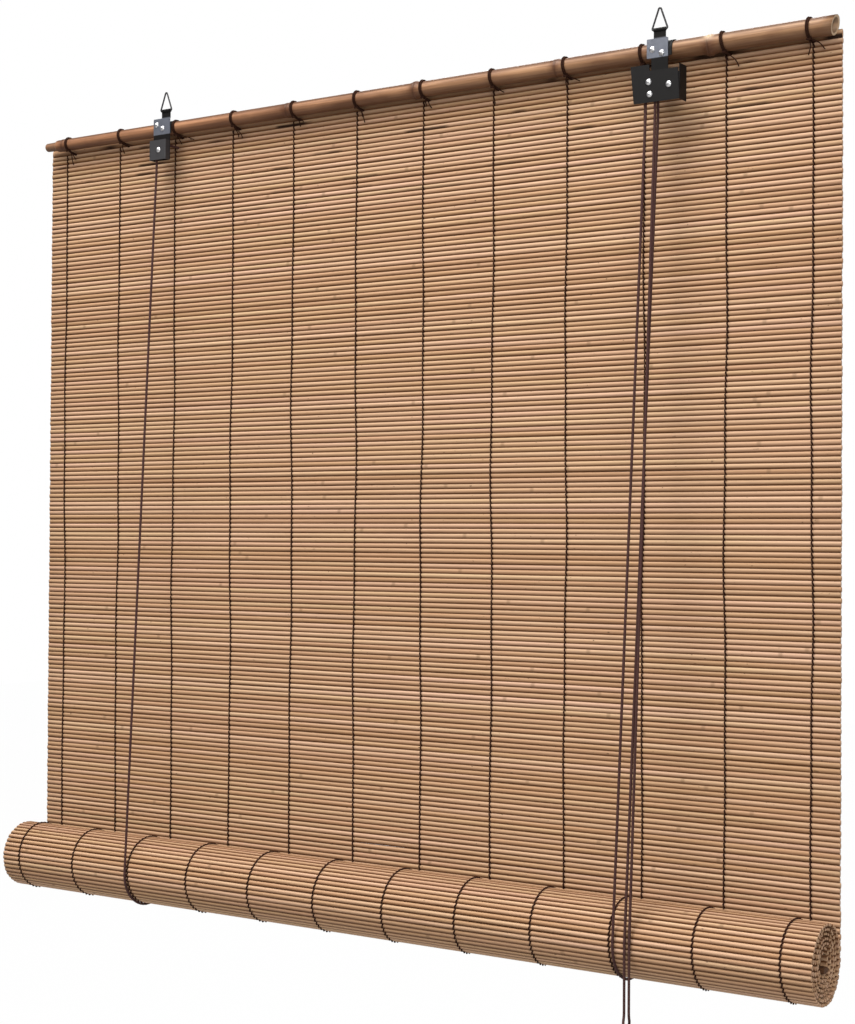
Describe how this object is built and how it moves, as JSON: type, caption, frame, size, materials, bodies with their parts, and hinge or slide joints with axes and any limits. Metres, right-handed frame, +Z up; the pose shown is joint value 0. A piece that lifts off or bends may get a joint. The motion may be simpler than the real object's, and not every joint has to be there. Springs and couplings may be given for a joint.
{
  "type": "bamboo roll-up blind",
  "caption": "Roll-up window blind of thin split-bamboo slats tied with dark twine under a bamboo pole, with wire hanging rings, a pulley, a cord lock and pull cords; half raised.",
  "frame": {"origin": "on the hanging line, where the wall hooks bear in the two wire rings, at the middle of the mat's width", "axes": "+X along the pole to the right seen from the front, +Y to the back (towards the window), +Z up"},
  "size_m": [1.2, 0.1093, 1.2333],
  "materials": {
    "slats": "raw split bamboo",
    "pole": "smoked bamboo cane",
    "thread": "dark twine",
    "cord": "braided cord",
    "wire": "black wire",
    "clip": "blued grey sheet",
    "lock": "matt black",
    "rivet": "bright",
    "nylon": "satin",
    "zinc": "as cast"
  },
  "bodies": {
    "head": {"head_pole": "pole", "pole_lashings": "thread", "hanging_mat": "slats", "warp_threads": "thread", "left_plate": "clip", "left_saddle": "clip", "left_plate_rivets": "rivet", "left_case": "lock", "left_axle": "rivet", "right_plate": "clip", "right_saddle": "clip", "right_plate_rivets": "rivet", "lock_face": "lock", "lock_axles": "rivet", "lift_knots": "cord", "cross_cord": "cord", "lock_cord": "cord", "left_front_cord": "cord", "right_front_cord": "cord", "left_back_cord": "cord", "right_back_cord": "cord", "pull_cord_a": "cord", "pull_cord_b": "cord"},
    "lift_loop": {"left_sling": "cord", "right_sling": "cord", "lower_pull_cord_a": "cord", "lower_pull_cord_b": "cord", "cord_hank": "cord", "hank_tie": "cord"},
    "roll": {"rolled_mat": "slats", "roll_threads": "thread", "bottom_slat": "pole"},
    "left_ring": {"left_ring": "wire"},
    "right_ring": {"right_ring": "wire"},
    "left_sheave": {"left_sheave": "nylon"},
    "lock_sheave": {"lock_sheave": "nylon"},
    "lock_roller": {"lock_roller": "nylon"},
    "lock_cam": {"lock_cam": "zinc"}
  },
  "joints": [
    {"name": "roll_lift", "type": "slide", "parent": "head", "child": "lift_loop", "axis": [0, 0, 1], "range_m": [0, 0.80299], "deforming": ["hanging_mat", "warp_threads", "left_front_cord", "right_front_cord", "left_back_cord", "right_back_cord", "pull_cord_a", "pull_cord_b"]},
    {"name": "roll_turn", "type": "hinge", "parent": "lift_loop", "child": "roll", "pos_m": [0, -0.0196, -1.0638], "axis": [1, 0, 0], "range_deg": [-1081, 0]},
    {"name": "left_ring_swing", "type": "hinge", "parent": "head", "child": "left_ring", "pos_m": [-0.36148, 0, -0.02372], "axis": [1, 0, 0], "range_deg": [-90, 90]},
    {"name": "right_ring_swing", "type": "hinge", "parent": "head", "child": "right_ring", "pos_m": [0.38958, 0, -0.02372], "axis": [1, 0, 0], "range_deg": [-90, 90]},
    {"name": "left_sheave_spin", "type": "hinge", "parent": "head", "child": "left_sheave", "pos_m": [-0.36738, -0.0045, -0.0785], "axis": [0, 1, 0], "continuous": true},
    {"name": "lock_sheave_spin", "type": "hinge", "parent": "head", "child": "lock_sheave", "pos_m": [0.38408, -0.00875, -0.0875], "axis": [0, 1, 0], "continuous": true},
    {"name": "lock_roller_spin", "type": "hinge", "parent": "head", "child": "lock_roller", "pos_m": [0.38538, -0.00875, -0.1015], "axis": [0, 1, 0], "continuous": true},
    {"name": "lock_cam_swing", "type": "hinge", "parent": "head", "child": "lock_cam", "pos_m": [0.40938, -0.00875, -0.0929], "axis": [0, 1, 0], "range_deg": [0, 30]}
  ],
  "couplings": [
    {"joint": "roll_turn", "follows": "roll_lift", "rad_per_m": -23.474}
  ]
}
